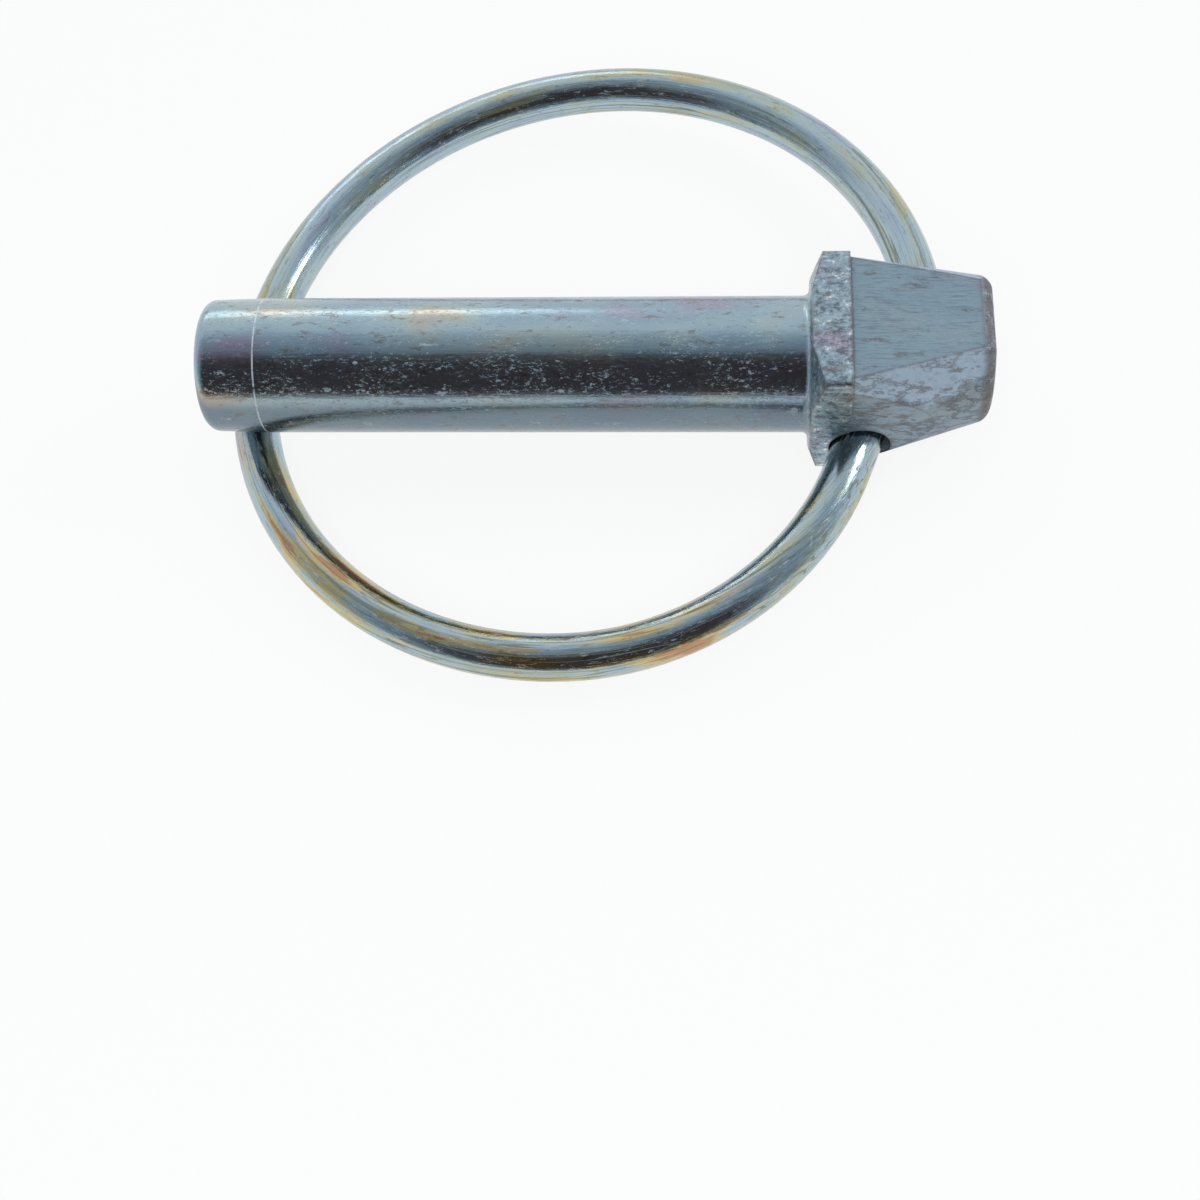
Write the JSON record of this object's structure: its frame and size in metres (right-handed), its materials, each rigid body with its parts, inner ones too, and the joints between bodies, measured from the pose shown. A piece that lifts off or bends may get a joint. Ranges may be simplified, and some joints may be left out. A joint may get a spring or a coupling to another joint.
{
  "type": "snap pin",
  "caption": "Locking pin with a square tapered head and a spring wire ring that swings over and snaps round the shank to keep it in its hole.",
  "frame": {"origin": "on the shank's axis at the back edge of the head's square land", "axes": "+X along the shank's axis towards the outer end of the head, +Z out of the head's planed flat, +Y to the far side, where the ring reaches further out"},
  "size_m": [0.0552, 0.053, 0.0139],
  "materials": {
    "pin_steel": "bright blue-passivated zinc plate on forged steel",
    "ring_steel": "bright blue-passivated zinc plate on drawn spring wire"
  },
  "bodies": {
    "pin": {"pin": "pin_steel"},
    "ring": {"ring": "ring_steel"}
  },
  "joints": [
    {"name": "ring_swing", "type": "hinge", "parent": "pin", "child": "ring", "pos_m": [0.0044, 0, -0.0016], "axis": [-0.3366, -0.9401, -0.0541], "range_deg": [0, 340]}
  ]
}
